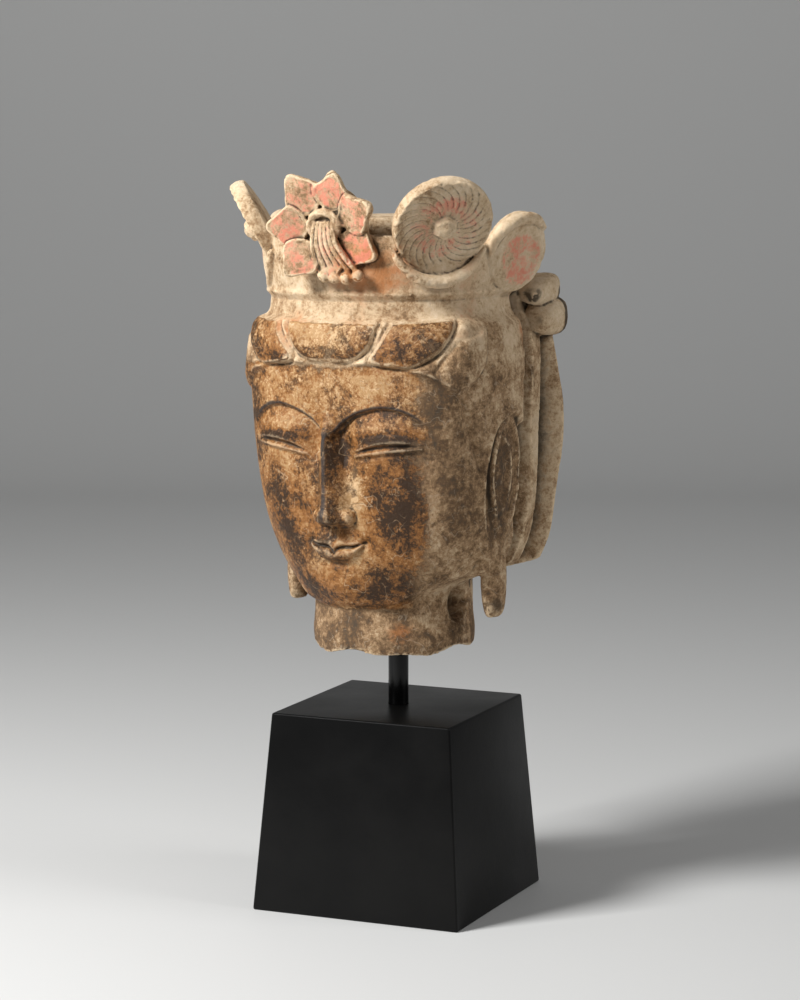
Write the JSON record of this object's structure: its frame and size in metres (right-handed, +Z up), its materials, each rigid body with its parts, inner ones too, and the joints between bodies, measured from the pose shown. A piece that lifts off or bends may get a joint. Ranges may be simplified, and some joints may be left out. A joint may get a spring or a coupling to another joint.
{
  "type": "sculpture head on stand",
  "caption": "Carved stone head of a crowned bodhisattva with flower crown and ribbons, carried by a round rod on a tapered black block.",
  "frame": {"origin": "middle of the block's underside, on the surface that it stands on", "axes": "+Z up along the rod, -Y out of the block's front face; the head faces about 12 degrees from -Y towards -X"},
  "size_m": [0.2522, 0.2266, 0.5814],
  "materials": {
    "head": "weathered carved limestone with worn brown gilding, pink and orange pigment",
    "rod": "glossy black",
    "plinth": "satin black paint"
  },
  "bodies": {
    "root": {"head": "head", "rod": "rod", "plinth": "plinth"}
  },
  "joints": []
}
